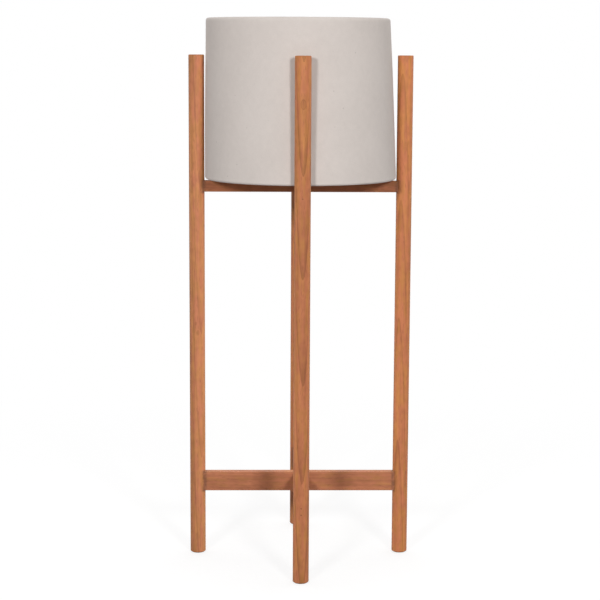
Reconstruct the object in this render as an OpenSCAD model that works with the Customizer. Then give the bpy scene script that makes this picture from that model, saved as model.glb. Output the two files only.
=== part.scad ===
// Cylinder planter in a tall four-legged wooden stand.
// The origin is on the floor under the middle of the pot, +Z is up and -Y is the front.

/* [Pot] */
// Outer diameter at the rim
pot_top_d = 304; // [240:1:320]
// Outer diameter at the base
pot_base_d = 316; // [300:1:360]
// How far the wall swells outwards halfway up
pot_belly = 1; // [0:0.5:3]
// Height of the pot
pot_h = 264; // [200:1:320]
// Thickness of the wall
pot_wall = 12; // [10:0.5:20]
// Thickness of the floor
pot_floor_t = 16; // [14:0.5:24]
// Rounding of the rim, inside and outside
pot_rim_r = 4.5; // [2:0.5:5]
// Rounding of the base's outer edge
pot_base_r = 4; // [2:0.5:10]
// Rounding where the wall meets the floor inside
pot_cove_r = 14; // [6:1:24]
// Diameter of the drain hole
drain_d = 20; // [14:1:30]
// Space between the pot's base and each leg
pot_clearance = 2; // [1:0.5:8]

/* [Drain plug] */
// Diameter of the round recess in the floor that the plug is sunk in
plug_recess_d = 46; // [42:1:60]
// Diameter of the plug's flange
plug_flange_d = 32; // [32:1:40]
// Thickness of the flange
plug_flange_t = 3; // [2:0.5:4]
// Diameter of the knob that the plug is pulled by
plug_knob_d = 12; // [10:1:16]
// Height of the knob above the flange
plug_knob_h = 6; // [5:0.5:7]
// Diameter of the neck under the knob
plug_neck_d = 7; // [5:0.5:8]
// How far the knob stays below the pot's floor
plug_sunk = 1; // [0.5:0.5:2]
// How far the stem stays short of the pot's underside
plug_stem_short = 1; // [0.5:0.5:1]

/* [Legs] */
// Diameter of each round leg
leg_d = 26; // [22:0.5:32]
// Length of each leg
leg_h = 845; // [780:1:880]
// Rounding of the legs' ends
leg_end_r = 1.5; // [1:0.5:3]

/* [Crosses] */
// Thickness of every bar
bar_t = 16; // [14:0.5:20]
// Rounding of the bars' long edges
bar_edge_r = 1.2; // [0.6:0.2:1.4]
// Height of the lower bars
lower_bar_h = 32.5; // [28:0.5:50]
// Underside of the lower cross above the floor
lower_bar_z = 109; // [60:1:300]
// Height of the upper bars
upper_bar_h = 18.5; // [16:0.5:30]
// Underside of the upper cross above the floor
upper_bar_z = 620; // [560:1:640]

/* [Joints] */
// Thickness of the tenons
tenon_t = 9; // [7:0.5:12]
// Shoulder above and below each tenon
tenon_shoulder = 2; // [1.5:0.5:4]
// Wood left between a tenon's tip and the leg's outer face
tenon_cover = 6.5; // [5:0.5:9]

/* [Brads] */
// Diameter of a brad's shank
brad_d = 1.6; // [1.2:0.1:2]
// Diameter of its head
brad_head_d = 2.6; // [2.4:0.1:3.4]
// Thickness of its head
brad_head_t = 1.2; // [0.8:0.1:1.6]
// Length of a brad with its head
brad_l = 20; // [16:1:22]
// How far a head is set below the leg's face
brad_set = 0.4; // [0.2:0.1:1]
// Distance between the two brads of a lower joint
brad_pitch = 11; // [6:1:14]
// Height of the lower of those two above the lower bar's underside
lower_brad_rise = 6; // [4:0.5:8]
// Height of an upper joint's brad above the upper bar's underside
upper_brad_rise = 4; // [4:0.5:9]

/* [Pads] */
// Diameter of the pads that the pot rests on
rest_pad_d = 13; // [9:0.5:13.5]
// Thickness of those pads
rest_pad_t = 3.5; // [2:0.5:6]
// How far in from the pot's base edge the middle of each pad lies
rest_pad_inset = 36; // [16:1:70]
// Diameter of the pads under the legs
foot_pad_d = 22; // [12:1:23]
// Thickness of the foot pads
foot_pad_t = 1; // [1:0.5:4]

/* [Clearances] */
// Gap round a tenon and under a shoulder
joint_gap = 0.1; // [0.05:0.05:0.2]
// Gap at a tenon's tip
tip_gap = 0.5; // [0.2:0.1:1]
// Gap between the two halves of a lap
lap_gap = 0.1; // [0.05:0.05:0.2]
// Gap round a brad
brad_gap = 0.05; // [0.02:0.01:0.1]
// Gap round the plug's stem
plug_gap = 0.05; // [0.02:0.01:0.1]

/* [Hidden] */
$fn = 96;
// Directions of the legs, counter-clockwise from +X
right = 0;
back = 90;
left = 180;
front = 270;
// Colours of the finishes
teak = "#BE805A";
teak_shade = "#A66B48";
cement = "#D0C8C2";
felt = "#8F8379";
black_rubber = "#3A3836";
steel = "#7A5A45";
// Overlap that makes a cut run clean through a face
cut = 1;
// Steps along the pot's wall and round its edges
wall_steps = 16;
edge_steps = 6;
// Heights and radii that follow from the sizes above
pot_widest_r = max([for (i = [0:wall_steps]) pot_r(pot_h * i / wall_steps)]);
leg_r = leg_d / 2;
leg_ring = pot_widest_r + pot_clearance + leg_r;
leg_face = leg_ring + leg_r;
rest_pad_ring = pot_base_d / 2 - rest_pad_inset;
// Height of the plug's seat, the recess's floor, above the pot's underside
plug_seat = pot_floor_t - plug_flange_t - plug_knob_h - plug_sunk;
pot_z = upper_bar_z + upper_bar_h + rest_pad_t;
tenon_tip = leg_face - tenon_cover;
lower_mid = lower_bar_z + lower_bar_h / 2;
upper_mid = upper_bar_z + upper_bar_h / 2;
// The two joints of a leg, each as the middle and height of its bar
joints = [[lower_mid, lower_bar_h], [upper_mid, upper_bar_h]];
brad_heights = [
    lower_bar_z + lower_brad_rise,
    lower_bar_z + lower_brad_rise + brad_pitch,
    upper_bar_z + upper_brad_rise
];

// Points of a quarter circle about [x, z], from one angle to another
function arc(x, z, r, from, to) = [
    for (i = [0:edge_steps])
        let (a = from + (to - from) * i / edge_steps)
        [x + r * cos(a), z + r * sin(a)]
];

// Outer radius of the pot at height z: a straight taper with a slight swell
function pot_r(z) =
    (pot_base_d + (pot_top_d - pot_base_d) * z / pot_h) / 2 + pot_belly * sin(180 * z / pot_h);

// Points down or up the wall between two heights, moved inwards by a depth
function wall(from, to, depth) = [
    for (i = [1:wall_steps - 1])
        let (z = from + (to - from) * i / wall_steps)
        [pot_r(z) - depth, z]
];

// The pot's section: underside, outer wall, rim, inner wall, cove, floor and plug recess
function pot_section() =
    let (
        rim_z = pot_h - pot_rim_r,
        cove_z = pot_floor_t + pot_cove_r
    )
    concat(
        [[drain_d / 2, 0]],
        arc(pot_r(pot_base_r) - pot_base_r, pot_base_r, pot_base_r, -90, 0),
        wall(pot_base_r, rim_z, 0),
        arc(pot_r(rim_z) - pot_rim_r, rim_z, pot_rim_r, 0, 90),
        arc(pot_r(rim_z) - pot_wall + pot_rim_r, rim_z, pot_rim_r, 90, 180),
        wall(rim_z, cove_z, pot_wall),
        arc(pot_r(cove_z) - pot_wall - pot_cove_r, cove_z, pot_cove_r, 0, -90),
        [
            [plug_recess_d / 2, pot_floor_t],
            [plug_recess_d / 2, plug_seat],
            [drain_d / 2, plug_seat]
        ]
    );

// A rectangle with rounded corners, centred
module rounded_rectangle(w, h, r) {
    square([w - 2 * r, h], center = true);
    square([w, h - 2 * r], center = true);
    for (x = [-1, 1], y = [-1, 1])
        translate([x * (w / 2 - r), y * (h / 2 - r)])
            circle(r);
}

// Half the outline of a round rod with rounded ends, to be revolved
module rod_outline(r, h, end_r) {
    square([r - end_r, h]);
    translate([0, end_r])
        square([r, h - 2 * end_r]);
    for (z = [end_r, h - end_r])
        translate([r - end_r, z])
            circle(end_r);
}

// One tenon pointing along +X from the middle of its bar, grown by a gap and lengthened by a tip gap
module tenon(bar_h, gap = 0, tip = 0) {
    root = leg_ring - leg_r - cut;
    size = [tenon_tip + tip - root, tenon_t + 2 * gap, bar_h - 2 * tenon_shoulder + 2 * gap];
    translate([root, -size.y / 2, -size.z / 2])
        cube(size);
}

// One brad along X, driven inwards from the leg's outer face and grown by a gap
module brad(gap = 0, clear = 0) {
    translate([leg_face - brad_set, 0, 0])
        rotate([0, -90, 0]) {
            cylinder(d = brad_d + 2 * gap, h = brad_l);
            translate([0, 0, -clear])
                cylinder(d = brad_head_d + 2 * gap, h = brad_head_t + clear);
        }
}

// A leg with its two mortises and the holes of its brads, standing in a direction round the pot
module leg(direction) {
    color(teak)
        rotate([0, 0, direction])
            difference() {
                translate([leg_ring, 0, foot_pad_t])
                    rotate_extrude()
                        intersection() {
                            rod_outline(leg_r, leg_h, leg_end_r);
                            square([leg_r, leg_h]);
                        }
                for (joint = joints)
                    translate([0, 0, joint[0]])
                        tenon(joint[1], joint_gap, tip_gap);
                for (z = brad_heights)
                    translate([0, 0, z])
                        brad(brad_gap, cut);
            }
}

// A bar along X, centred on its own middle, with a tenon at each end and half of its height
// cut away at the crossing: side is 1 where the upper half is cut away and -1 where the lower is
module bar(bar_h, side) {
    difference() {
        union() {
            difference() {
                rotate([90, 0, 90])
                    linear_extrude(2 * leg_ring, center = true)
                        rounded_rectangle(bar_t, bar_h, bar_edge_r);
                for (turn = [0, 180])
                    rotate([0, 0, turn])
                        translate([leg_ring, 0, 0])
                            cylinder(r = leg_r + joint_gap, h = bar_h + 2 * cut, center = true);
            }
            for (turn = [0, 180])
                rotate([0, 0, turn])
                    tenon(bar_h);
        }
        lap = bar_t + 2 * lap_gap;
        translate([-lap / 2, -lap / 2, side > 0 ? -lap_gap / 2 : -bar_h / 2 - cut])
            cube([lap, lap, bar_h / 2 + lap_gap / 2 + cut]);
    }
}

// A bar at its height, turned to its direction, with the brads' holes in its tenons
module placed_bar(mid, bar_h, side, direction) {
    color(teak_shade)
        rotate([0, 0, direction])
            difference() {
                translate([0, 0, mid])
                    bar(bar_h, side);
                for (turn = [0, 180], z = brad_heights)
                    if (abs(z - mid) < bar_h / 2)
                        rotate([0, 0, turn])
                            translate([0, 0, z])
                                brad(brad_gap);
            }
}

// All brads, each a separate solid
module joint_brads() {
    color(steel)
        for (direction = [right, back, left, front], z = brad_heights)
            rotate([0, 0, direction])
                translate([0, 0, z])
                    brad();
}

// A pad on top of the upper cross
module rest_pad(direction) {
    color(felt)
        rotate([0, 0, direction])
            translate([rest_pad_ring, 0, upper_bar_z + upper_bar_h])
                cylinder(d = rest_pad_d, h = rest_pad_t);
}

// A pad under a leg
module foot_pad(direction) {
    color(felt)
        rotate([0, 0, direction])
            translate([leg_ring, 0, 0])
                cylinder(d = foot_pad_d, h = foot_pad_t);
}

module pot() {
    color(cement)
        translate([0, 0, pot_z])
            rotate_extrude($fn = 180)
                polygon(pot_section());
}

// The plug: a stem in the drain hole, a flange on its seat and a necked knob with a domed top
module drain_plug() {
    stem_r = drain_d / 2 - plug_gap;
    cap_h = plug_knob_h / 2;
    color(black_rubber)
        translate([0, 0, pot_z + plug_seat]) {
            translate([0, 0, plug_stem_short - plug_seat])
                cylinder(r = stem_r, h = plug_seat - plug_stem_short);
            cylinder(d = plug_flange_d, h = plug_flange_t);
            translate([0, 0, plug_flange_t])
                cylinder(d = plug_neck_d, h = plug_knob_h - cap_h);
            translate([0, 0, plug_flange_t + plug_knob_h - cap_h])
                cap(plug_knob_d / 2, cap_h);
        }
}

// A spherical cap of a base radius and a height, standing on its flat side
module cap(r, h) {
    ball_r = (r * r + h * h) / (2 * h);
    intersection() {
        translate([0, 0, h - ball_r])
            sphere(ball_r);
        cylinder(r = r, h = h);
    }
}

leg(front);  // front_leg
leg(back);  // back_leg
leg(left);  // left_leg
leg(right);  // right_leg
placed_bar(lower_mid, lower_bar_h, 1, right);  // lower_bar_side_to_side
placed_bar(lower_mid, lower_bar_h, -1, back);  // lower_bar_front_to_back
placed_bar(upper_mid, upper_bar_h, 1, right);  // upper_bar_side_to_side
placed_bar(upper_mid, upper_bar_h, -1, back);  // upper_bar_front_to_back
joint_brads();
rest_pad(front);  // rest_pad_front
rest_pad(back);  // rest_pad_back
rest_pad(left);  // rest_pad_left
rest_pad(right);  // rest_pad_right
foot_pad(front);  // foot_pad_front
foot_pad(back);  // foot_pad_back
foot_pad(left);  // foot_pad_left
foot_pad(right);  // foot_pad_right
pot();
drain_plug();
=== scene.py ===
"""Looks of a cylinder planter in a tall four-legged teak stand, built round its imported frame.

Lengths are in metres, or in millimetres where a name ends in _mm. The origin is on the floor under
the middle of the pot, +Z is up and -Y is the front.
"""

import logging
import math
from collections.abc import Iterable, Mapping, Sequence
from dataclasses import dataclass, field
from enum import Enum
from typing import Any

import bpy
import numpy as np
from mathutils import Euler, Matrix, Vector


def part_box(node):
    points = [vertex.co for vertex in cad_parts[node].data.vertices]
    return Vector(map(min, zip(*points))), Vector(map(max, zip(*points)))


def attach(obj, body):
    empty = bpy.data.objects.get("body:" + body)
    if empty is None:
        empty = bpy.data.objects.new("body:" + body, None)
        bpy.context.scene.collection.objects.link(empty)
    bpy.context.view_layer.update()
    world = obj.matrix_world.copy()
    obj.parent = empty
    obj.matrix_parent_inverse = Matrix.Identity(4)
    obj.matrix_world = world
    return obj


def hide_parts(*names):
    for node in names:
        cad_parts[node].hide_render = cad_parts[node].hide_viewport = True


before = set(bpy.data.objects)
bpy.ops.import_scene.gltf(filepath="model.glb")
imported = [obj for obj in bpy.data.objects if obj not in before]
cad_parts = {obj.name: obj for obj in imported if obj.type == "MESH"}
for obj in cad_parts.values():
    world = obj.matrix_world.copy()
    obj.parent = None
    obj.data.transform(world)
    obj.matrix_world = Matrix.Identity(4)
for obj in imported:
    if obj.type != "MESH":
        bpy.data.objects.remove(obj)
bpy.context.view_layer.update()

log = logging.getLogger("planter")

Material = bpy.types.Material
Piece = bpy.types.Object
Socket = bpy.types.NodeSocket

MM = 0.001
PER_MM = 1000.0
# A radius below this is on the axis
POLE_R = 1e-9


# Small tools for colours, nodes and meshes
def linear(hex_colour: str, tone: float = 1.0) -> tuple[float, float, float, float]:
    """Turns an sRGB hex colour into the linear colour that a shader takes.

    Args:
        hex_colour: A colour such as "#BE805A".
        tone: Factor on the linear colour, below 1 for a darker piece.

    Returns:
        Linear red, green and blue, and an alpha of 1.
    """
    coded = np.array([int(hex_colour[i:i + 2], 16) for i in (1, 3, 5)]) / 255
    light = np.where(coded <= 0.04045, coded / 12.92, ((coded + 0.055) / 1.055) ** 2.4)
    red, green, blue = (float(c) for c in np.clip(light * tone, 0, 1))
    return red, green, blue, 1.0


@dataclass(frozen=True)
class Nodes:
    """A node tree that is being filled."""

    tree: bpy.types.NodeTree

    @classmethod
    def empty(cls, owner: Material | bpy.types.World) -> "Nodes":
        """Empties the tree of a new material or world, so that it can be filled.

        Args:
            owner: The material or world.

        Returns:
            Its nodes.
        """
        owner.use_nodes = True
        owner.node_tree.nodes.clear()
        return cls(owner.node_tree)

    def add(
        self,
        kind: str,
        inputs: Mapping[str | int, Any] | None = None,
        stops: Iterable[tuple[float, Sequence[float]]] = (),
        **settings: Any,
    ) -> bpy.types.NodeOutputs:
        """Adds a node with its settings, and fills or links its inputs.

        Args:
            kind: The node's type name.
            inputs: A value or an output socket for each input, by name or number.
            stops: Place and colour of each stop, where the node has a colour ramp.
            **settings: The node's own properties.

        Returns:
            The new node's outputs.
        """
        made = self.tree.nodes.new(kind)
        for name, value in settings.items():
            setattr(made, name, value)
        for key, value in (inputs or {}).items():
            if isinstance(value, Socket):
                self.tree.links.new(value, made.inputs[key])
            else:
                made.inputs[key].default_value = value
        for i, (place, colour) in enumerate(stops):
            ramp = made.color_ramp.elements
            stop = ramp[i] if i < 2 else ramp.new(place)
            stop.position, stop.color = place, colour
        return made.outputs

    def blend(self, patterns: Sequence[Any], shares: Sequence[float]) -> Socket:
        """Sums patterns about one half: 0.5 plus each pattern less its middle, times its share.

        Args:
            patterns: Each pattern, from 0 to 1.
            shares: Each pattern's share.

        Returns:
            The summed pattern.
        """
        total: Any = 0.5 - sum(shares) / 2
        for pattern, share in zip(patterns, shares):
            total = self.add(
                "ShaderNodeMath", {0: pattern, 1: share, 2: total}, operation="MULTIPLY_ADD"
            )[0]
        return total

    def paint_over(self, colour: Any, coats: Iterable[tuple[Any, Any]]) -> Socket:
        """Lays coats over a colour, one after the other.

        Args:
            colour: The colour below.
            coats: How much of each coat shows, from 0 to 1, and its colour.

        Returns:
            The colour on top.
        """
        for share, coat in coats:
            colour = self.add("ShaderNodeMix", {0: share, 6: colour, 7: coat}, data_type="RGBA")[2]
        return colour

    def nearness(self, offsets: Iterable[Socket], reach: float, depth: float) -> Socket | float:
        """How near a point is to the nearest of some places.

        Args:
            offsets: The point's offset from each place.
            reach: The distance at which a place ends.
            depth: The value at a place itself, which falls softly to 0 over the reach.

        Returns:
            The value, which is 0 where there are no places.
        """
        total: Any = 0.0
        for offset in offsets:
            away = self.add("ShaderNodeVectorMath", {0: offset}, operation="LENGTH")["Value"]
            near = self.add(
                "ShaderNodeMapRange",
                {0: away, 1: 0.0, 2: reach, 3: depth, 4: 0.0},
                interpolation_type="SMOOTHSTEP",
            )[0]
            total = self.add("ShaderNodeMath", {0: near, 1: total}, operation="MAXIMUM")[0]
        return total


def new_material(name: str) -> tuple[Material, Nodes, Socket]:
    """Makes a material with no nodes but its coordinates.

    Args:
        name: What the real material is.

    Returns:
        The material, its nodes and the object's own coordinates.
    """
    made = bpy.data.materials.new(name)
    nodes = Nodes.empty(made)
    return made, nodes, nodes.add("ShaderNodeTexCoord")["Object"]


def dress_node(node: str, finish: Material) -> Piece:
    """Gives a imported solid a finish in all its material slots.

    Args:
        node: The node's name.
        finish: The material.

    Returns:
        The solid.
    """
    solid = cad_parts[node]
    for slot in solid.material_slots:
        slot.material = finish
    return solid


def lathe(profile: np.ndarray, segments: int, closed: bool) -> tuple[np.ndarray, np.ndarray]:
    """Turns a profile about the vertical axis.

    A profile point at radius r and height z gives the vertex (r cos a, r sin a, z) at each angle a.
    Four vertices of two neighbouring rows make a face. The faces point outwards where the profile
    runs outwards below and upwards outside. A row at radius 0 is merged to one pole.

    Args:
        profile: Rows of radius and height.
        segments: Number of angles.
        closed: Whether the last row joins the first.

    Returns:
        The vertices, and the faces as rows of four, where a pole's faces repeat its vertex.
    """
    angle = np.arange(segments) * 2 * np.pi / segments
    radius, height = profile[:, :1], profile[:, 1:]
    grid = np.stack(
        [radius * np.cos(angle), radius * np.sin(angle), height + 0 * angle], axis=-1
    )
    number = np.arange(grid.shape[0] * segments).reshape(grid.shape[:2])
    number = np.where(radius < POLE_R, number[:, :1], number)
    if closed:
        number = np.vstack([number, number[:1]])
    low, high = number[:-1], number[1:]
    quads = np.stack([low, np.roll(low, -1, 1), np.roll(high, -1, 1), high], axis=-1)
    return grid.reshape(-1, 3), quads.reshape(-1, 4)


def make_piece(
    name: str,
    vertices: np.ndarray,
    quads: np.ndarray,
    finish: Material,
    attributes: Mapping[str, np.ndarray] | None = None,
) -> Piece:
    """Puts a grid of vertices and faces into a smooth mesh object that stands at the origin.

    Vertices that no face uses are dropped, and a face that names a vertex twice becomes a triangle.

    Args:
        name: The object's name.
        vertices: Positions, one row each.
        quads: Faces, four vertex numbers each.
        finish: The material.
        attributes: A number per vertex for each named attribute.

    Returns:
        The object, linked to the scene.
    """
    used, renumbered = np.unique(quads, return_inverse=True)
    quads = renumbered.reshape(-1, 4)
    keep = quads != np.roll(quads, -1, axis=1)
    sizes = keep.sum(axis=1)
    whole = sizes >= 3
    corners, sizes = quads[whole][keep[whole]], sizes[whole]
    mesh = bpy.data.meshes.new(name)
    mesh.vertices.add(len(used))
    mesh.loops.add(len(corners))
    mesh.polygons.add(len(sizes))
    mesh.vertices.foreach_set("co", vertices[used].astype(np.float32).ravel())
    mesh.loops.foreach_set("vertex_index", corners.astype(np.int32))
    starts = np.concatenate([[0], np.cumsum(sizes)[:-1]])
    mesh.polygons.foreach_set("loop_start", starts.astype(np.int32))
    mesh.update(calc_edges=True)
    mesh.validate()
    mesh.polygons.foreach_set("use_smooth", np.ones(len(sizes), bool))
    for key, values in (attributes or {}).items():
        layer = mesh.attributes.new(key, "FLOAT", "POINT")
        layer.data.foreach_set("value", np.asarray(values, np.float32)[used])
    mesh.materials.append(finish)
    piece = bpy.data.objects.new(name, mesh)
    bpy.context.scene.collection.objects.link(piece)
    return piece


def arc(
    centre: tuple[float, float], radius: float, start_deg: float, end_deg: float, count: int = 9
) -> np.ndarray:
    """Points of an arc: the centre plus the radius times the cosine and sine of each angle.

    Args:
        centre: Radius and height of the arc's middle on the profile.
        radius: The arc's own radius.
        start_deg: First angle, from the outward direction towards up.
        end_deg: Last angle.
        count: Number of points.

    Returns:
        Rows of radius and height.
    """
    angle = np.radians(np.linspace(start_deg, end_deg, count))
    return np.stack([centre[0] + radius * np.cos(angle), centre[1] + radius * np.sin(angle)], -1)


def line(start: tuple[float, float], end: tuple[float, float], count: int) -> np.ndarray:
    """Evenly spaced points between two points of a profile, without those two."""
    share = np.linspace(0, 1, count + 2)[1:-1, None]
    return np.array(start) + share * (np.array(end) - np.array(start))


def slow_waves(
    angle: np.ndarray,
    height: np.ndarray,
    seed: int,
    count: int = 14,
    most_turns: int = 7,
    most_climb: float = 9.0,
) -> np.ndarray:
    """A smooth uneven field over a round wall.

    It sums cosines of a whole number of turns round the wall plus a slow run up its height, each
    with a seeded phase and a weight that falls with its turns, and stretches the sum to 0 to 1.

    Args:
        angle: Angle of each point.
        height: Height of each point as a share of the wall's.
        seed: Seed of the draws.
        count: Number of cosines.
        most_turns: Most turns that a cosine makes round the wall.
        most_climb: Most that its angle gains or loses over the height, in radians.

    Returns:
        A value from 0 to 1 for each point.
    """
    draw = np.random.default_rng(seed)
    turns = draw.integers(1, most_turns + 1, count)
    climb = draw.uniform(-most_climb, most_climb, count)
    phase = draw.uniform(0, 2 * np.pi, count)
    waves = np.cos(angle[..., None] * turns + height[..., None] * climb + phase) / (1 + turns)
    total = waves.sum(axis=-1)
    return (total - total.min()) / (total.max() - total.min())


# Finishes
class Grain(Enum):
    """The direction in which a piece's wood grain runs, as the turn that lays it along Z."""

    ALONG_X = (0.0, -math.pi / 2, 0.0)
    ALONG_Y = (math.pi / 2, 0.0, 0.0)
    ALONG_Z = (0.0, 0.0, 0.0)


class Side(Enum):
    """The four sides of the stand, each with its direction from the middle."""

    FRONT = (0.0, -1.0)
    BACK = (0.0, 1.0)
    LEFT = (-1.0, 0.0)
    RIGHT = (1.0, 0.0)

    @property
    def word(self) -> str:
        """The side's name as the nodes spell it."""
        return self.name.lower()


@dataclass(frozen=True)
class Board:
    """One piece of teak as it was cut from the log.

    Attributes:
        grain: The way that the grain runs.
        heart_mm: Distance of the log's heart from the middle of the piece, across the grain.
        lean_deg: How far the piece's length leans from the log's, which runs the rings out.
        lot: A number of its own, so that no two pieces show the same streaks.
        tone: Factor on the colour, below 1 for a darker board.
        strength: Factor on how strong the colour is, below 1 for a drier, greyer board.
        figure: How strongly the rings show.
        rosy: How much of it is rosy: 0 for as much as golden, 0.2 for nearly all, and below 0 for
            less than golden.
        sawn_ends: Whether its two sawn ends show.
        knots: Place of each knot from the middle of the piece, with the grain along Z, and its
            radius, in millimetres.
        joins: Nodes that meet it in a corner, where oil and dust and a painted shade darken it.
        paler_to: How much its tone rises over 100 mm along X, Y and Z, with the grain along Z.
    """

    grain: Grain
    heart_mm: tuple[float, float]
    lean_deg: tuple[float, float]
    lot: float
    tone: float = 1.0
    strength: float = 1.0
    figure: float = 0.2
    rosy: float = 0.0
    sawn_ends: bool = False
    knots: tuple[tuple[float, float, float, float], ...] = ()
    joins: tuple[str, ...] = ()
    paler_to: tuple[float, float, float] = (0.0, 0.0, 0.0)


@dataclass(frozen=True)
class Streak:
    """One kind of streak in the wood, as noise that is drawn out along the grain.

    Attributes:
        size_mm: Its width and its length.
        detail: Octaves of finer noise.
        share: How strongly it moves the tone.
    """

    size_mm: tuple[float, float]
    detail: float
    share: float = 0.0


@dataclass(frozen=True, kw_only=True)
class Finish:
    """What every finish has.

    Attributes:
        rough: Lowest and highest roughness.
        relief_mm: Height of the relief.
        relief_strength: How strongly the relief shows.
    """

    rough: tuple[float, float]
    relief_mm: float
    relief_strength: float = 0.6

    def close(self, nodes: Nodes, dull: Socket, depth: Socket, inputs: Mapping[str, Any]) -> None:
        """Ends a material with its roughness, its relief, its shader and its output.

        Args:
            nodes: The material's nodes.
            dull: A pattern that is higher where the surface is rougher.
            depth: A pattern that is lower where the surface is deeper.
            inputs: The shader's other inputs, by name.
        """
        low, high = self.rough
        rough = nodes.add("ShaderNodeMapRange", {0: dull, 3: low, 4: high})[0]
        size = {"Strength": self.relief_strength, "Distance": self.relief_mm * MM}
        relief = nodes.add("ShaderNodeBump", {**size, "Height": depth})[0]
        look = {**inputs, "Roughness": rough, "Normal": relief}
        shader = nodes.add("ShaderNodeBsdfPrincipled", look)[0]
        nodes.add("ShaderNodeOutputMaterial", {"Surface": shader})


@dataclass(frozen=True, kw_only=True)
class OiledTeak(Finish):
    """Teak, planed, sanded and oiled.

    The eye gets a warm orange brown that drifts between golden and rosy, long soft streaks, darker
    ring lines that run out into long points, a few short dark pores, a corner at each joint
    darkened by oil and dust and by painted shade, and a dull silky gloss.
    """

    deep: str = "#8F532D"
    dark: str = "#AD6A3D"
    middle: str = "#C27C4C"
    pale: str = "#D8945F"
    # Where these four colours stand on the tone
    tone_stops: tuple[float, ...] = (0.12, 0.38, 0.58, 0.88)
    golden: str = "#C98B4D"
    rosy: str = "#C07756"
    # Where these two stand on the drift, and how far they take the colour with them
    hue_stops: tuple[float, float] = (0.36, 0.64)
    hue_share: float = 0.55
    drift: Streak = Streak((8.0, 30.0), 1.0)
    # What makes the tone uneven along the grain
    streak: Streak = Streak((4.5, 110.0), 2.0, 0.34)
    band: Streak = Streak((11.0, 330.0), 1.0, 0.4)
    blotch: Streak = Streak((9.0, 15.0), 1.0, 0.26)
    # Teak's fibres are far thinner; they are drawn this wide so that they show
    fibre: Streak = Streak((1.1, 60.0), 3.0, 0.17)
    # A pore is about 0.3 mm wide; it is drawn wider for the same reason, in the middle of a cell
    # of this width and length, with its core and its soft brim as shares of the cell
    pore: str = "#7F4A2C"
    pore_mm: tuple[float, float] = (1.7, 17.0)
    pore_radius: float = 0.13
    pore_soft: float = 0.14
    pore_depth: float = 0.4
    ring_mm: float = 6.5
    # Share of a ring's width that its dark line takes
    ring_line: float = 0.3
    # How strongly the line and the ring's own slow darkening show
    ring_shares: tuple[float, float] = (0.8, 0.2)
    # The lines are thin, so the rings are lowered by this to bring their mean back to one half
    ring_drop: float = 0.28
    # Their pattern is pressed together along the grain, so that its unevenness is long there
    ring_press: float = 0.06
    # A knot is longer along the grain, the rings swell out round it, and its middle is darker
    knot_length: float = 1.7
    knot_swell_mm: float = 5.0
    knot_depth: float = 0.4
    # End grain takes up more oil and is darker
    end_tone: float = 0.86
    end_fade_mm: float = 2.0
    end_depth: float = 0.7
    # Painted shade in the corners at the joints, darker with the oil and dust that gathered there.
    # In patches only a part of it is left, where the patches' noise lies below the first stop, and
    # all of it above the second.
    stain_and_shade: str = "#6B4733"
    stain_and_shade_mm: float = 4.5
    stain_and_shade_depth: float = 0.62
    stain_patch_mm: float = 7.0
    stain_patch_stops: tuple[float, float] = (0.35, 0.6)
    stain_worn: float = 0.35
    rough: tuple[float, float] = (0.52, 0.66)
    # How strongly fibres, pores and rings shape the relief
    relief_shares: tuple[float, ...] = (0.5, -0.6, 0.12)
    relief_mm: float = 0.12
    relief_strength: float = 0.55

    def material(self, node: str, board: Board) -> Material:
        """Makes the finish of one board.

        Args:
            node: Name of the board's solid.
            board: How the board was cut.

        Returns:
            The material.
        """
        low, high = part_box(node)
        made, nodes, place = new_material(f"oiled_teak_{node}")
        middle = Euler(board.grain.value).to_matrix() @ ((low + high) / 2)
        laid = nodes.add(
            "ShaderNodeMapping",
            {
                "Vector": place,
                "Location": -PER_MM * middle,
                "Rotation": board.grain.value,
                "Scale": (PER_MM,) * 3,
            },
        )[0]
        knots = self._knots(nodes, laid, board)
        rings = self._rings(nodes, laid, board, knots)
        pores = self._pores(nodes, laid, board.lot)
        tone, fibres, drift = self._figure(nodes, laid, board, rings)
        coats = [(pores, linear(self.pore, board.tone))]
        if board.knots:
            coats.append((knots, linear(self.deep, board.tone)))
        if board.sawn_ends:
            ends = self._sawn_ends(nodes, place, low.z, high.z)
            coats.append((ends, linear(self.dark, self.end_tone * board.tone)))
        # Painted shade in the corners where the pieces meet, together with oil and dust
        if board.joins:
            coats.append((self._stains(nodes, place, board.joins), linear(self.stain_and_shade)))
        wood = nodes.paint_over(self._wood(nodes, tone, drift, board), coats)
        colour = nodes.add(
            "ShaderNodeHueSaturation", {"Color": wood, "Saturation": board.strength}
        )[0]
        depth = nodes.blend((fibres, pores, rings), self.relief_shares)
        shine = {"IOR": 1.47, "Diffuse Roughness": 0.7, "Specular IOR Level": 0.3}
        self.close(nodes, fibres, depth, {"Base Color": colour, **shine})
        return made

    def _wood(self, nodes: Nodes, tone: Socket, drift: Socket, board: Board) -> Socket:
        """Bare wood: four tones from deep to pale, drawn towards golden or rosy.

        Args:
            nodes: The material's nodes.
            tone: How pale a point is.
            drift: How rosy a point is.
            board: How the board was cut.

        Returns:
            The colour.
        """
        shades = (linear(c, board.tone) for c in (self.deep, self.dark, self.middle, self.pale))
        toned = nodes.add("ShaderNodeValToRGB", {0: tone}, zip(self.tone_stops, shades))[0]
        hue_stops = (stop - board.rosy for stop in self.hue_stops)
        hues = (linear(c) for c in (self.golden, self.rosy))
        hue = nodes.add("ShaderNodeValToRGB", {0: drift}, zip(hue_stops, hues))[0]
        return nodes.add(
            "ShaderNodeMix",
            {0: self.hue_share, 6: toned, 7: hue},
            data_type="RGBA",
            blend_type="COLOR",
        )[2]

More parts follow.
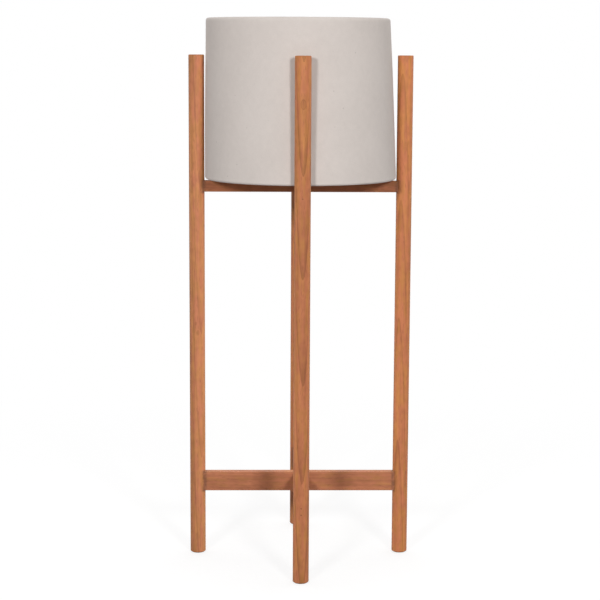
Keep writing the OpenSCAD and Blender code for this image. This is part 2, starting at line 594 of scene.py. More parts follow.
    def _figure(
        self, nodes: Nodes, laid: Socket, board: Board, rings: Socket
    ) -> tuple[Socket, Socket, Socket]:
        """The wood's figure: its rings and all its streaks, summed to one tone.

        Args:
            nodes: The material's nodes.
            laid: Coordinates in millimetres with the grain along Z.
            board: How the board was cut.
            rings: The ring pattern.

        Returns:
            The tone, the fibres that are a part of it, and the slow drift of the hue.
        """
        kinds = (self.streak, self.band, self.blotch, self.fibre, self.drift)
        waves = []
        for kind in kinds:
            drawn = self._drawn_out(nodes, laid, kind.size_mm, (board.lot, 0, 0))
            noise = {"Vector": drawn, "Scale": 1.0, "Detail": kind.detail}
            waves.append(nodes.add("ShaderNodeTexNoise", noise)["Fac"])
        *streaks, fibres, drift = waves
        shares = (board.figure, *(kind.share for kind in kinds[:-1]))
        tone = nodes.blend((rings, *streaks, fibres), shares)
        if any(board.paler_to):
            # The board gives its gain over 100 mm
            rise = Vector(board.paler_to) / 100
            across = nodes.add("ShaderNodeVectorMath", {0: laid, 1: rise}, operation="DOT_PRODUCT")
            tone = nodes.add("ShaderNodeMath", {0: tone, 1: across["Value"]}, operation="ADD")[0]
        return tone, fibres, drift

    def _drawn_out(
        self,
        nodes: Nodes,
        laid: Socket,
        size_mm: tuple[float, float],
        shift: tuple[float, float, float],
    ) -> Socket:
        """Coordinates that draw a pattern out along the grain.

        Args:
            nodes: The material's nodes.
            laid: Coordinates in millimetres with the grain along Z.
            size_mm: Width and length of one unit of the pattern.
            shift: How far the pattern is moved, in its own units.

        Returns:
            The coordinates.
        """
        width, length = size_mm
        scale = (1 / width, 1 / width, 1 / length)
        return nodes.add(
            "ShaderNodeMapping", {"Vector": laid, "Location": shift, "Scale": scale}
        )[0]

    def _knots(self, nodes: Nodes, laid: Socket, board: Board) -> Socket | float:
        """How near a point is to a knot's middle, in a knot's own half widths and half length.

        Args:
            nodes: The material's nodes.
            laid: Coordinates in millimetres with the grain along Z.
            board: How the board was cut, and its knots.

        Returns:
            Up to the knots' depth in a knot's middle and 0 outside.
        """
        offsets = []
        for x, y, z, radius in board.knots:
            length = radius * self.knot_length
            shift = (-x / radius, -y / radius, -z / length)
            offsets.append(self._drawn_out(nodes, laid, (radius, length), shift))
        return nodes.nearness(offsets, 1.0, self.knot_depth)

    def _stains(self, nodes: Nodes, place: Socket, joins: Sequence[str]) -> Socket:
        """Painted shade, oil and dust on a point, by its distance from the pieces it joins.

        A piece's box has a middle and half sizes. A point's distance from the box is the length of
        its offset from the middle, taken without its sign, less the half sizes, and never below 0.

        Args:
            nodes: The material's nodes.
            place: Object coordinates.
            joins: The nodes that it joins.

        Returns:
            Up to the depth of the shade and stain in the corner and 0 outside its reach.
        """
        nothing = Vector((0, 0, 0))
        offsets = []
        for node in joins:
            low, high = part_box(node)
            off: Socket = place
            for operation, amount in (
                ("SUBTRACT", (low + high) / 2),
                ("ABSOLUTE", nothing),
                ("SUBTRACT", (high - low) / 2),
                ("MAXIMUM", nothing),
            ):
                off = nodes.add(
                    "ShaderNodeVectorMath", {0: off, 1: amount}, operation=operation
                )["Vector"]
            offsets.append(off)
        near = nodes.nearness(offsets, self.stain_and_shade_mm * MM, self.stain_and_shade_depth)
        patches = nodes.add(
            "ShaderNodeTexNoise",
            {"Vector": place, "Scale": PER_MM / self.stain_patch_mm, "Detail": 2.0},
        )["Fac"]
        partial, whole = self.stain_patch_stops
        kept = nodes.add(
            "ShaderNodeMapRange", {0: patches, 1: partial, 2: whole, 3: self.stain_worn, 4: 1.0}
        )[0]
        return nodes.add("ShaderNodeMath", {0: near, 1: kept}, operation="MULTIPLY")[0]

    def _rings(self, nodes: Nodes, laid: Socket, board: Board, knots: Socket | float) -> Socket:
        """Growth rings about the log's heart: paler early wood that ends in a thin darker line.

        Args:
            nodes: The material's nodes.
            laid: Coordinates in millimetres with the grain along Z.
            board: How the board was cut.
            knots: How near a point is to a knot, which pushes the rings outwards.

        Returns:
            The ring pattern from 0 to 1.
        """
        lean = (math.radians(a) for a in board.lean_deg)
        about_heart = nodes.add(
            "ShaderNodeMapping",
            {"Vector": laid, "Location": (*board.heart_mm, 0), "Rotation": (*lean, 0)},
        )[0]
        if board.knots:
            swell = self.knot_swell_mm / self.knot_depth / math.hypot(*board.heart_mm)
            grown = nodes.add(
                "ShaderNodeMath", {0: knots, 1: swell, 2: 1.0}, operation="MULTIPLY_ADD"
            )[0]
            about_heart = nodes.add(
                "ShaderNodeVectorMath", {0: about_heart, "Scale": grown}, operation="SCALE"
            )[0]
        pressed = nodes.add(
            "ShaderNodeMapping", {"Vector": about_heart, "Scale": (1, 1, self.ring_press)}
        )[0]
        # The texture's own rings are pi / 10 wide
        growth = nodes.add(
            "ShaderNodeTexWave",
            {
                "Vector": pressed,
                "Scale": math.pi / (10 * self.ring_mm),
                "Distortion": 1.8,
                "Detail": 2.0,
                "Detail Scale": 0.6,
                "Detail Roughness": 0.55,
            },
            wave_type="RINGS",
            rings_direction="Z",
            wave_profile="SAW",
        )["Fac"]
        lines = nodes.add(
            "ShaderNodeMapRange",
            {0: growth, 1: 0.0, 2: self.ring_line},
            interpolation_type="SMOOTHSTEP",
        )[0]
        toned = nodes.blend((lines, growth), self.ring_shares)
        return nodes.add("ShaderNodeMath", {0: toned, 1: -self.ring_drop}, operation="ADD")[0]

    def _pores(self, nodes: Nodes, laid: Socket, lot: float) -> Socket:
        """Short dark dashes: the middle of each long cell of a cell pattern.

        Args:
            nodes: The material's nodes.
            laid: Coordinates in millimetres with the grain along Z.
            lot: Number of the board.

        Returns:
            Up to the pores' depth in a pore and 0 outside.
        """
        drawn = self._drawn_out(nodes, laid, self.pore_mm, (lot, 0, 0))
        cells = nodes.add("ShaderNodeTexVoronoi", {"Vector": drawn, "Scale": 1.0})
        near, far = self.pore_radius, self.pore_radius + self.pore_soft
        return nodes.add(
            "ShaderNodeMapRange",
            {0: cells["Distance"], 1: near, 2: far, 3: self.pore_depth, 4: 0.0},
        )[0]

    def _sawn_ends(self, nodes: Nodes, place: Socket, foot: float, top: float) -> Socket:
        """How far a point is end grain.

        Args:
            nodes: The material's nodes.
            place: Object coordinates.
            foot: Height of the lower end.
            top: Height of the upper end.

        Returns:
            Up to the ends' depth at an end's face and 0 a little way in from it.
        """
        height = nodes.add("ShaderNodeSeparateXYZ", {0: place})["Z"]
        middle, half = (foot + top) / 2, (top - foot) / 2
        off = nodes.add("ShaderNodeMath", {0: height, 1: middle}, operation="SUBTRACT")[0]
        reach = nodes.add("ShaderNodeMath", {0: off}, operation="ABSOLUTE")[0]
        return nodes.add(
            "ShaderNodeMapRange",
            {0: reach, 1: half - self.end_fade_mm * MM, 2: half, 3: 0.0, 4: self.end_depth},
        )[0]


@dataclass(frozen=True, kw_only=True)
class FibreCement(Finish):
    """Fibre cement, cast in a mould, sanded and sealed matt.

    The eye gets a warm pale grey with faint clouds and mottling, a few tiny pits where air was
    trapped, slightly paler edges, and no gloss. Inside it is left as cast, rougher and greyer.
    """

    shade: str = "#C3BAB4"
    middle: str = "#CEC5BF"
    pale: str = "#D6CEC8"
    # Where these three colours stand on the tone
    tone_stops: tuple[float, ...] = (0.1, 0.5, 0.9)
    pit: str = "#ADA49E"
    # The raw inside, and how dark its darkest clouds are
    inside: str = "#BDB5AF"
    inside_tone: float = 0.86
    cloud_mm: float = 70.0
    mottle_mm: float = 9.0
    grit_mm: float = 1.6
    # How strongly clouds, mottling, grit and edges move the tone
    tone_shares: tuple[float, ...] = (0.42, 0.3, 0.3, 0.12)
    pit_cell_mm: float = 17.0
    pit_radius_mm: float = 0.9
    # A pit's bottom and its brim, as factors on its radius
    pit_slope: tuple[float, float] = (0.6, 1.5)
    pit_depth: float = 0.8
    # Share of the cells that hold no pit
    pit_free: float = 0.72
    rough: tuple[float, float] = (0.8, 0.95)
    # How strongly grit, mottling and pits shape the relief
    relief_shares: tuple[float, ...] = (0.4, 0.3, -1.2)
    relief_mm: float = 0.3

    def material(self, name: str) -> Material:
        """Makes the finish. It reads the attributes "inside" and "edge" of the piece.

        Args:
            name: The material's name.

        Returns:
            The material.
        """
        made, nodes, place = new_material(name)
        laid = nodes.add("ShaderNodeMapping", {"Vector": place, "Scale": (PER_MM,) * 3})[0]
        noises = (
            {"Vector": laid, "Scale": 1 / size, "Detail": detail}
            for size, detail in ((self.cloud_mm, 3.0), (self.mottle_mm, 2.0), (self.grit_mm, 2.0))
        )
        clouds, mottle, grit = (nodes.add("ShaderNodeTexNoise", noise)["Fac"] for noise in noises)
        inside, edge = (
            nodes.add("ShaderNodeAttribute", attribute_name=key)["Fac"]
            for key in ("inside", "edge")
        )
        pits = self._pits(nodes, laid)
        tone = nodes.blend((clouds, mottle, grit, edge), self.tone_shares)
        shades = (linear(c) for c in (self.shade, self.middle, self.pale))
        outside = nodes.add("ShaderNodeValToRGB", {0: tone}, zip(self.tone_stops, shades))[0]
        below = linear(self.inside, self.inside_tone)
        raw = nodes.paint_over(below, [(clouds, linear(self.inside))])
        colour = nodes.paint_over(outside, [(inside, raw), (pits, linear(self.pit))])
        depth = nodes.blend((grit, mottle, pits), self.relief_shares)
        self.close(nodes, mottle, depth, {"Base Color": colour, "IOR": 1.45})
        return made

    def _pits(self, nodes: Nodes, laid: Socket) -> Socket:
        """Tiny pits: the middles of some cells of a cell pattern, picked by the cells' colours.

        Args:
            nodes: The material's nodes.
            laid: Coordinates in millimetres.

        Returns:
            Up to the pits' depth in a pit and 0 outside.
        """
        cells = nodes.add("ShaderNodeTexVoronoi", {"Vector": laid, "Scale": 1 / self.pit_cell_mm})
        bottom, brim = (share * self.pit_radius_mm / self.pit_cell_mm for share in self.pit_slope)
        near = nodes.add(
            "ShaderNodeMapRange",
            {0: cells["Distance"], 1: bottom, 2: brim, 3: self.pit_depth, 4: 0.0},
        )[0]
        lot = nodes.add("ShaderNodeSeparateColor", {0: cells["Color"]})["Red"]
        holds = nodes.add("ShaderNodeMath", {0: lot, 1: self.pit_free}, operation="GREATER_THAN")[0]
        return nodes.add("ShaderNodeMath", {0: near, 1: holds}, operation="MULTIPLY")[0]


@dataclass(frozen=True)
class PlainFinish(Finish):
    """A small part's finish: two tones of one colour, mottled, with a fine relief.

    Attributes:
        dark: The darker tone.
        pale: The paler tone.
        grain_mm: Size of the mottling.
        ior: Index of refraction, as typical for the material.
        metallic: 1 for bare metal.
        sheen: Weight of the soft rim light of cloth fibres.
        tone_stops: Where the two tones stand on the mottling.
    """

    dark: str
    pale: str
    grain_mm: float
    ior: float = 1.5
    metallic: float = 0.0
    sheen: float = 0.0
    tone_stops: tuple[float, float] = (0.3, 0.7)

    def material(self, name: str) -> Material:
        """Makes the finish.

        Args:
            name: The material's name.

        Returns:
            The material.
        """
        made, nodes, place = new_material(name)
        laid = nodes.add("ShaderNodeMapping", {"Vector": place, "Scale": (PER_MM,) * 3})[0]
        noise = {"Vector": laid, "Scale": 1 / self.grain_mm, "Detail": 3.0}
        mottle = nodes.add("ShaderNodeTexNoise", noise)["Fac"]
        shades = (linear(self.dark), linear(self.pale))
        colour = nodes.add("ShaderNodeValToRGB", {0: mottle}, zip(self.tone_stops, shades))[0]
        look = {"IOR": self.ior, "Metallic": self.metallic, "Sheen Weight": self.sheen}
        self.close(nodes, mottle, mottle, {"Base Color": colour, **look})
        return made


# Pressed wool felt: dull, fibrous, with a soft pale rim
WOOL_FELT = PlainFinish("#8C6F58", "#AC8B70", 0.9, sheen=0.35, rough=(0.92, 1.0), relief_mm=0.25)
# Moulded rubber: near black with a faint bloom and a low satin gloss
MOULDED_RUBBER = PlainFinish(
    "#262422", "#35322F", 1.2, ior=1.52, rough=(0.5, 0.68), relief_mm=0.04
)
# Browned steel wire: dark, with the streaky gloss of drawn metal
BROWNED_STEEL = PlainFinish(
    "#5A4232", "#7A5A45", 0.4, metallic=1.0, rough=(0.35, 0.5), relief_mm=0.01
)
# Coloured wax filler: a shade darker and glossier than the oiled wood round it
WAX_FILLER = PlainFinish("#8F5330", "#A2623C", 0.5, ior=1.44, rough=(0.34, 0.46), relief_mm=0.02)


# The stand
BARS_ALONG_X = ("lower_bar_side_to_side", "upper_bar_side_to_side")
BARS_ALONG_Y = ("lower_bar_front_to_back", "upper_bar_front_to_back")


@dataclass
class Woodwork:
    """The legs and the two crosses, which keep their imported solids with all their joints."""

    finish: OiledTeak = field(default_factory=OiledTeak)
    boards: Mapping[str, Board] = field(
        default_factory=lambda: {
            "front_leg": Board(
                Grain.ALONG_Z, (4, -62), (2.2, -0.3), lot=388, figure=0.25, rosy=0.04,
                sawn_ends=True, joins=BARS_ALONG_Y, knots=((0.5, -13, 347, 8),),
            ),
            "back_leg": Board(
                Grain.ALONG_Z, (-30, 58), (-1.9, 0.8), lot=17, tone=0.98, figure=0.25, rosy=0.04,
                sawn_ends=True, joins=BARS_ALONG_Y,
            ),
            "left_leg": Board(
                Grain.ALONG_Z, (38, -54), (1.2, 1.1), lot=37, tone=1.16, strength=0.96,
                figure=0.16, rosy=-0.03, sawn_ends=True, joins=BARS_ALONG_X,
                knots=((-2.3, -12.8, -25, 3.2), (1, -13, -41, 3.8)), paler_to=(1.9, 0, 0),
            ),
            "right_leg": Board(
                Grain.ALONG_Z, (-34, -62), (-1.2, 1.4), lot=882, tone=1.16, rosy=0.03,
                sawn_ends=True, joins=BARS_ALONG_X,
            ),
            "lower_bar_side_to_side": Board(
                Grain.ALONG_X, (46, 152), (0.8, 0.5), lot=856, tone=1.04, strength=0.965,
                figure=0.08, rosy=0.12, joins=("left_leg", "right_leg"),
            ),
            "lower_bar_front_to_back": Board(
                Grain.ALONG_Y, (-148, 40), (0.5, -0.9), lot=67, strength=0.965,
                figure=0.1, rosy=0.1, joins=("front_leg", "back_leg"),
            ),
            "upper_bar_side_to_side": Board(
                Grain.ALONG_X, (74, -120), (-0.7, 0.4), lot=79, tone=0.96,
                figure=0.1, rosy=0.12, joins=("left_leg", "right_leg"),
            ),
            "upper_bar_front_to_back": Board(
                Grain.ALONG_Y, (-112, -76), (0.6, 0.7), lot=97, tone=0.96,
                figure=0.1, rosy=0.1, joins=("front_leg", "back_leg"),
            ),
        }
    )

    def build(self) -> list[Piece]:
        """Gives each leg and bar the finish of its own board."""
        return [
            dress_node(node, self.finish.material(node, board))
            for node, board in self.boards.items()
        ]


@dataclass
class Brads:
    """The brads that pin the tenons, and the wax that fills the holes over their heads."""

    hole_r: float = 1.33 * MM
    # A filling's thickness, how far it lies under the wood, and how hollow its face is
    fill_t: float = 0.34 * MM
    sunk: float = 0.03 * MM
    dish: float = 0.06 * MM
    leg_r: float = 13 * MM
    # Distance of the legs from the middle of the stand, and the brads' heights on them
    leg_ring: float = 173 * MM
    heights: tuple[float, ...] = (115 * MM, 126 * MM, 624 * MM)
    rings: int = 5
    segments: int = 28

    def build(self) -> list[Piece]:
        """Dresses the brads and fills their holes.

        One filling is a disc on a polar grid, bent to the leg: at a distance u across the leg, its
        face lies at the root of the leg's squared radius less u squared, less a dish that is
        deepest in the middle. The same disc is set at every side and height at once.

        Returns:
            The brads, and the fillings as one piece.
        """
        brads = dress_node("joint_brads", BROWNED_STEEL.material("browned_steel_brads"))
        reach = np.linspace(1, 0, self.rings)
        profile = np.concatenate([[[0, 0], [1, 0]], np.stack([reach, 0 * reach + 1], -1)])
        disc, quads = lathe(profile, self.segments, closed=False)
        across, up, top = disc[:, 0] * self.hole_r, disc[:, 1] * self.hole_r, disc[:, 2]
        hollow = self.dish * (1 - (disc[:, 0] ** 2 + disc[:, 1] ** 2))
        face = np.sqrt(self.leg_r**2 - across**2) - self.sunk - hollow
        out = self.leg_ring + np.where(top > 0.5, face, self.leg_r - self.sunk - self.fill_t)
        way_x, way_y = np.array([side.value for side in Side]).T[:, :, None, None]
        levels = np.array(self.heights)[None, :, None]
        x, y = way_x * out - way_y * across, way_y * out + way_x * across
        grid = np.stack(np.broadcast_arrays(x, y, up + levels), axis=-1)
        count = len(Side) * len(self.heights)
        numbers = (quads[None] + np.arange(count)[:, None, None] * len(disc)).reshape(-1, 4)
        piece = make_piece(
            "brad_hole_fillings", grid.reshape(-1, 3), numbers, WAX_FILLER.material("wax_filler")
        )
        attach(piece, "stand")
        return [brads, piece]


@dataclass
class Pads:
    """Round pads of one kind, one on each side of the stand.

    Attributes:
        node: Start of the nodes' names that they replace.
        finish: Their finish.
        material: Name of their material.
        slot: The record's material slot, which only ends the new pads' names.
        lower_r: Radius at the underside.
        upper_r: Radius at the upper face.
        edge: Rounding of the edges.
        rough_edge: How far the side's outline wanders inwards.
        segments: Number of points round them.
    """

    node: str
    finish: PlainFinish
    material: str
    slot: str
    lower_r: float
    upper_r: float
    edge: float
    rough_edge: float = 0.0
    segments: int = 96

    def build(self) -> list[Piece]:
        """Builds the four pads in the places of their nodes.

        The profile runs from the axis along the underside, round a lower edge, up a side that
        tapers, round an upper edge and back to the axis. The side wanders in by slow waves.

        Returns:
            The pads.
        """
        finish = self.finish.material(self.material)
        lower, upper, edge = self.lower_r - self.edge, self.upper_r - self.edge, self.edge
        made = []
        for number, side in enumerate(Side):
            low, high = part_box(f"{self.node}_{side.word}")
            centre = (low + high) / 2
            profile = np.concatenate([
                [[0, low.z]],
                line((0, low.z), (lower, low.z), 6),
                arc((lower, low.z + edge), edge, -90, 0),
                arc((upper, high.z - edge), edge, 0, 90),
                line((upper, high.z), (0, high.z), 6),
                [[0, high.z]],
            ])
            vertices, quads = lathe(profile, self.segments, closed=False)
            angle = np.arctan2(vertices[:, 1], vertices[:, 0])
            share = (vertices[:, 2] - low.z) / (high.z - low.z)
            inwards = 1 - self.rough_edge / self.lower_r * slow_waves(angle, share, number)
            vertices[:, :2] *= inwards[:, None]
            vertices[:, :2] += (centre.x, centre.y)
            piece = make_piece(f"{self.node}_{side.word}_{self.slot}", vertices, quads, finish)
            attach(piece, "stand")
            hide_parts(f"{self.node}_{side.word}")
            made.append(piece)
        return made


# The pot and its plug
@dataclass
class Pot:
    """The cast pot: its wall swells slightly and tapers to the rim, and all its edges are soft."""

    z: float = 642 * MM
    height: float = 264 * MM
    rim_r: float = 152 * MM
    # The cast wall comes within a millimetre of the legs, a little closer than the solid
    base_r: float = 159.1 * MM
    belly: float = 0.5 * MM
    wall: float = 12 * MM
    floor: float = 16 * MM
    rim_edge: float = 4.5 * MM
    base_edge: float = 4 * MM
    cove: float = 14 * MM
    recess_r: float = 23 * MM
    seat: float = 6 * MM
    drain_r: float = 10 * MM
    small_edge: float = 0.8 * MM
    # It stands a little off true: its top is this far to the left of its base
    set_over: float = 5.2 * MM
    # How far the walls and the rim wander, and the seeds of their waves
    uneven: float = 0.45 * MM
    rim_uneven: float = 0.3 * MM
    wall_seed: int = 11
    rim_seed: int = 23
    # The walls' waves start at this share of the base radius and grow over the second share of it,
    # and the rim's start at this share of the height
    wall_from: tuple[float, float] = (0.8, 0.1)
    rim_from: float = 0.9
    wall_rows: int = 72
    segments: int = 288
    finish: FibreCement = field(default_factory=FibreCement)

    def radius(self, z: np.ndarray | float) -> np.ndarray | float:
        """Outer radius at a height: a straight taper plus half a sine wave of swell."""
        share = np.asarray(z) / self.height
        return self.base_r + (self.rim_r - self.base_r) * share + self.belly * np.sin(np.pi * share)

    def section(self) -> tuple[np.ndarray, np.ndarray, np.ndarray]:
        """The pot's section as one closed line, from the drain hole's lower edge outwards.

        Returns:
            Rows of radius and height, how far each row is inside, and how far it is on an edge.
        """
        rim_z, cove_z, edge = self.height - self.rim_edge, self.floor + self.cove, self.small_edge
        out_base = float(self.radius(self.base_edge)) - self.base_edge
        out_rim = float(self.radius(rim_z)) - self.rim_edge
        in_rim = float(self.radius(rim_z)) - self.wall + self.rim_edge
        in_cove = float(self.radius(cove_z)) - self.wall - self.cove
        rise = np.linspace(self.base_edge, rim_z, self.wall_rows)[1:-1]
        fall = np.linspace(rim_z, cove_z, self.wall_rows)[1:-1]
        parts = [
            (arc((self.drain_r + edge, edge), edge, 180, 270, 5), 0, 0),
            (line((self.drain_r + edge, 0), (out_base, 0), 14), 0, 0),
            (arc((out_base, self.base_edge), self.base_edge, -90, 0, 13), 0, 1),
            (np.stack([self.radius(rise), rise], -1), 0, 0),
            (arc((out_rim, rim_z), self.rim_edge, 0, 90, 11), 0, 1),
            (line((out_rim, self.height), (in_rim, self.height), 2), 0.2, 1),
            (arc((in_rim, rim_z), self.rim_edge, 90, 180, 11), 0.6, 1),
            (np.stack([self.radius(fall) - self.wall, fall], -1), 1, 0),
            (arc((in_cove, cove_z), self.cove, 0, -90, 15), 1, 0),
            (line((in_cove, self.floor), (self.recess_r + edge, self.floor), 14), 1, 0),
            (arc((self.recess_r + edge, self.floor - edge), edge, 90, 180, 5), 1, 0),
            (arc((self.recess_r - edge, self.seat + edge), edge, 0, -90, 5), 1, 0),
            (line((self.recess_r - edge, self.seat), (self.drain_r + edge, self.seat), 3), 1, 0),
            (arc((self.drain_r + edge, self.seat - edge), edge, 90, 180, 5), 1, 0),
        ]
        rows = np.concatenate([points for points, _, _ in parts])
        inside = np.concatenate([np.full(len(points), value) for points, value, _ in parts])
        on_edge = np.concatenate([np.full(len(points), value) for points, _, value in parts])
        return rows, inside, on_edge

    def build(self) -> list[Piece]:
        """Builds the pot in the place of its node.

        The section is turned about the axis. Both walls move inwards by slow waves, the rim moves
        down by others, and every point moves to the left by its height's share of the set-over.

        Returns:
            The pot.
        """
        rows, inside, on_edge = self.section()
        vertices, quads = lathe(rows, self.segments, closed=True)
        x, y, z = vertices.T
        share = z / self.height
        angle = np.arctan2(y, x)
        reach = np.hypot(x, y)
        start, growth = (part * self.base_r for part in self.wall_from)
        on_wall = np.clip((reach - start) / growth, 0, 1)
        on_wall *= np.clip(z / (2 * self.base_edge), 0, 1)
        inwards = 1 - self.uneven * slow_waves(angle, share, self.wall_seed) * on_wall / reach
        on_rim = np.clip((share - self.rim_from) / (1 - self.rim_from), 0, 1)
        sag = self.rim_uneven * slow_waves(angle, 0 * share, self.rim_seed) * on_rim
        vertices = np.stack(
            [x * inwards - self.set_over * share, y * inwards, z - sag + self.z], axis=-1
        )
        spread = {
            "inside": np.repeat(inside, self.segments),
            "edge": np.repeat(on_edge, self.segments),
        }
        finish = self.finish.material("fibre_cement")
        piece = make_piece("pot_cast", vertices, quads, finish, spread)
        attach(piece, "pot")
        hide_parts("pot")
        return [piece]


@dataclass
class DrainPlug:
    """The rubber plug: a stem in the drain hole, a flange on its seat and a necked, domed knob."""

    seat_z: float = 648 * MM
    stem_r: float = 9.95 * MM
    stem_h: float = 5 * MM
    flange_r: float = 16 * MM
    flange_t: float = 3 * MM
    neck_r: float = 3.5 * MM
    neck_h: float = 3 * MM
    knob_r: float = 6 * MM
    knob_h: float = 3 * MM
    edge: float = 0.7 * MM
    # The rounding under the knob ends at this angle, and the dome starts this far above the rim
    knob_edge: float = 0.42 * MM
    knob_edge_deg: float = -20.0
    dome_gap_deg: float = 9.0
    segments: int = 96

    def build(self) -> list[Piece]:
        """Builds the plug in the place of its node.

        The profile runs from the axis under the stem outwards, up round the flange, in to the
        neck, out under the knob and back to the axis over a dome, which is an arc through the
        knob's rim and top.

        Returns:
            The plug.
        """
        z, edge, knob_edge = self.seat_z, self.edge, self.knob_edge
        foot, top = z - self.stem_h, z + self.flange_t
        knob_z, knob_r = top + self.neck_h, self.knob_r - knob_edge
        dome_r = (self.knob_r**2 + self.knob_h**2) / (2 * self.knob_h)
        rim_deg = math.degrees(math.asin((dome_r - self.knob_h) / dome_r))
        profile = np.concatenate([
            [[0, foot]],
            line((0, foot), (self.stem_r - edge, foot), 4),
            arc((self.stem_r - edge, foot + edge), edge, -90, 0),
            line((self.stem_r, foot + edge), (self.stem_r, z), 3),
            [[self.stem_r, z]],
            arc((self.flange_r - edge, z + edge), edge, -90, 0),
            arc((self.flange_r - edge, top - edge), edge, 0, 90),
            arc((self.neck_r + edge, top + edge), edge, -90, -180),
            arc((self.neck_r + knob_edge, knob_z - knob_edge), knob_edge, 180, 90),
            arc((knob_r, knob_z + knob_edge), knob_edge, -90, self.knob_edge_deg, 5),
            arc((0, knob_z + self.knob_h - dome_r), dome_r, rim_deg + self.dome_gap_deg, 90, 13),
        ])
        profile[-1, 0] = 0
        vertices, quads = lathe(profile, self.segments, closed=False)
        piece = make_piece(
            "drain_plug_moulded", vertices, quads, MOULDED_RUBBER.material("moulded_rubber_plug")
        )
        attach(piece, "drain_plug")
        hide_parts("drain_plug")
        return [piece]


# The studio
@dataclass(frozen=True)
class Lamp:
    """A square lamp of soft light that faces the pot.

    Attributes:
        name: Its name.
        azimuth_deg: Its direction from the front towards the right.
        elevation_deg: Its height as an angle over the pot's middle.
        share: How brightly it lights an upright white wall turned to its side.
    """

    name: str
    azimuth_deg: float
    elevation_deg: float
    share: float


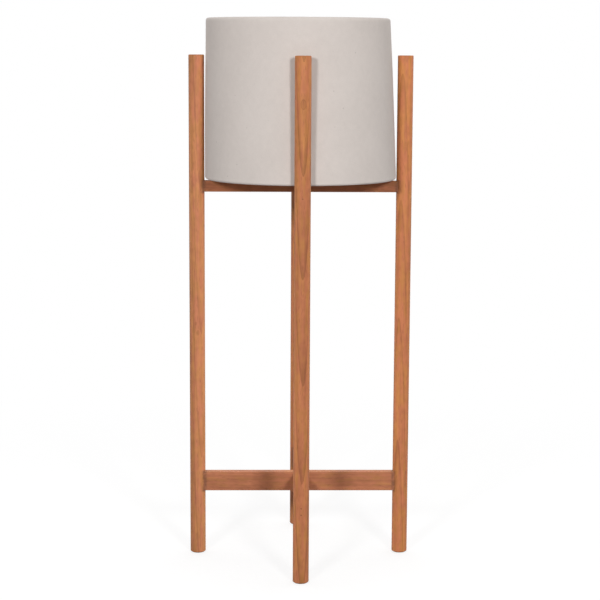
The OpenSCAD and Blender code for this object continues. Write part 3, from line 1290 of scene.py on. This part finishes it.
@dataclass
class Studio:
    """The camera, two soft lamps in front, light from the back and sides, and a pale floor."""

    camera_at: tuple[float, float, float] = (-0.0559, -2.8554, 0.8644)
    yaw_deg: float = -1.124
    pitch_deg: float = -8.511
    roll_deg: float = 0.28
    focal_px: float = 1713.0
    image_px: float = 600.0
    sensor_mm: float = 36.0
    lamps: tuple[Lamp, ...] = (
        Lamp("left_lamp", -22.0, 12.5, 0.385),
        Lamp("right_lamp", 17.5, 12.5, 0.425),
    )
    lamp_distance: float = 3.2
    lamp_size: float = 0.42
    aim: tuple[float, float, float] = (0.0, 0.0, 0.77)
    # The surround's light: its mean, and how much it gains towards the right and the back
    surround: float = 0.75
    surround_gain: tuple[float, float] = (0.08, 0.86)
    floor_r: float = 8.0
    floor_segments: int = 96
    floor_colour: str = "#8C8C8C"
    # What lifts the floor to white in the picture, so that only the shadow is left on it, and the
    # distances between which the shadow fades
    floor_glow: float = 0.755
    plain_floor: tuple[float, float] = (0.5, 1.4)

    def build(self) -> None:
        """Sets up the view, the light and the floor."""
        self._camera()
        for lamp in self.lamps:
            self._hang(lamp)
        self._surround()
        self._floor()
        bpy.context.scene.view_settings.view_transform = "Standard"

    def _camera(self) -> None:
        """Places the camera from its position, its three turns and the focal length in pixels.

        It starts level and faces the back. Roll turns it about its view, pitch raises the view and
        yaw swings it to the left.
        """
        yaw, pitch, roll = (math.radians(a) for a in (self.yaw_deg, self.pitch_deg, self.roll_deg))
        turned = (
            Matrix.Rotation(yaw, 4, "Z")
            @ Matrix.Rotation(math.pi / 2 + pitch, 4, "X")
            @ Matrix.Rotation(roll, 4, "Z")
        )
        data = bpy.data.cameras.new("camera")
        data.sensor_width = self.sensor_mm
        data.lens = self.focal_px / self.image_px * self.sensor_mm
        camera = bpy.data.objects.new("camera", data)
        camera.matrix_world = Matrix.Translation(self.camera_at) @ turned
        bpy.context.scene.collection.objects.link(camera)
        bpy.context.scene.camera = camera

    def _hang(self, lamp: Lamp) -> None:
        """Hangs a lamp, with the power that gives its share of the light at the pot.

        A square lamp of P watts at distance d lights a white surface that faces it as brightly as
        P / (pi d)^2, and an upright one by the cosine of the elevation less.

        Args:
            lamp: The lamp.
        """
        azimuth, elevation = math.radians(lamp.azimuth_deg), math.radians(lamp.elevation_deg)
        raised = Vector((0, -math.cos(elevation), math.sin(elevation)))
        away = Matrix.Rotation(azimuth, 3, "Z") @ raised
        data = bpy.data.lights.new(lamp.name, "AREA")
        data.size = self.lamp_size
        data.energy = lamp.share / math.cos(elevation) * (math.pi * self.lamp_distance) ** 2
        hung = bpy.data.objects.new(lamp.name, data)
        hung.location = Vector(self.aim) + away * self.lamp_distance
        hung.rotation_euler = away.to_track_quat("Z", "Y").to_euler()
        hung.visible_camera = False
        bpy.context.scene.collection.objects.link(hung)

    def _seen(self, nodes: Nodes) -> Socket:
        """1 for rays from the camera, off gloss or through glass, which see plain white.

        Args:
            nodes: The nodes that use it.

        Returns:
            0 or 1.
        """
        path = nodes.add("ShaderNodeLightPath")
        total: Socket = path["Is Camera Ray"]
        for kind in ("Is Glossy Ray", "Is Transmission Ray"):
            total = nodes.add(
                "ShaderNodeMath", {0: total, 1: path[kind]}, operation="ADD", use_clamp=True
            )[0]
        return total

    def _surround(self) -> None:
        """White light that is strongest from the back, seen as plain white.

        Its strength in a direction is the mean plus the gain's two parts times the direction's
        run to the right and to the back, and never below 0.
        """
        world = bpy.data.worlds.new("surround")
        nodes = Nodes.empty(world)
        way = nodes.add("ShaderNodeTexCoord")["Generated"]
        gain = (*self.surround_gain, 0.0)
        run = nodes.add("ShaderNodeVectorMath", {0: way, 1: gain}, operation="DOT_PRODUCT")["Value"]
        sum_of = nodes.add("ShaderNodeMath", {0: run, 1: self.surround}, operation="ADD")[0]
        strength = nodes.add("ShaderNodeMath", {0: sum_of, 1: 0.0}, operation="MAXIMUM")[0]
        light, white = (
            nodes.add("ShaderNodeBackground", {"Color": (1, 1, 1, 1), "Strength": s})[0]
            for s in (strength, 1.0)
        )
        mixed = nodes.add("ShaderNodeMixShader", {0: self._seen(nodes), 1: light, 2: white})[0]
        nodes.add("ShaderNodeOutputWorld", {"Surface": mixed})
        bpy.context.scene.world = world

    def _floor(self) -> None:
        """A flat pale disc that keeps the stand's soft shadow and fades to plain white far off."""
        disc = np.array([[self.floor_r, 0.0], [0.0, 0.0]])
        vertices, quads = lathe(disc, self.floor_segments, closed=False)
        made, nodes, place = new_material("pale_floor")
        reach = nodes.add("ShaderNodeVectorMath", {0: place}, operation="LENGTH")["Value"]
        near, far = self.plain_floor
        far_off = nodes.add(
            "ShaderNodeMapRange", {0: reach, 1: near, 2: far}, interpolation_type="SMOOTHSTEP"
        )[0]
        seen = self._seen(nodes)
        plain = nodes.add("ShaderNodeMath", {0: far_off, 1: seen}, operation="MULTIPLY")[0]
        glow = nodes.add("ShaderNodeMath", {0: seen, 1: self.floor_glow}, operation="MULTIPLY")[0]
        matt = nodes.add("ShaderNodeBsdfDiffuse", {"Color": linear(self.floor_colour)})[0]
        lift = nodes.add("ShaderNodeEmission", {"Strength": glow})[0]
        close = nodes.add("ShaderNodeAddShader", {0: matt, 1: lift})[0]
        white = nodes.add("ShaderNodeEmission", {"Strength": 1.0})[0]
        mixed = nodes.add("ShaderNodeMixShader", {0: plain, 1: close, 2: white})[0]
        nodes.add("ShaderNodeOutputMaterial", {"Surface": mixed})
        floor = make_piece("floor", vertices, quads, made)


def main() -> None:
    """Builds and dresses every sub-assembly, in order, inside the studio."""
    logging.basicConfig(level=logging.INFO, format="%(name)s: %(message)s")
    Studio().build()
    parts = (
        Woodwork(),
        Brads(),
        Pads(
            "foot_pad", WOOL_FELT, "wool_felt", "felt",
            lower_r=10.9 * MM, upper_r=11 * MM, edge=0.3 * MM, rough_edge=0.2 * MM,
        ),
        Pads(
            "rest_pad", MOULDED_RUBBER, "moulded_rubber_pads", "rubber",
            lower_r=6.5 * MM, upper_r=5.9 * MM, edge=0.8 * MM,
        ),
        Pot(),
        DrainPlug(),
    )
    for part in parts:
        for piece in part.build():
            finish = piece.material_slots[0].material
            log.info("%s: %s, %d vertices", piece.name, finish.name, len(piece.data.vertices))


if __name__ == "__main__":
    main()
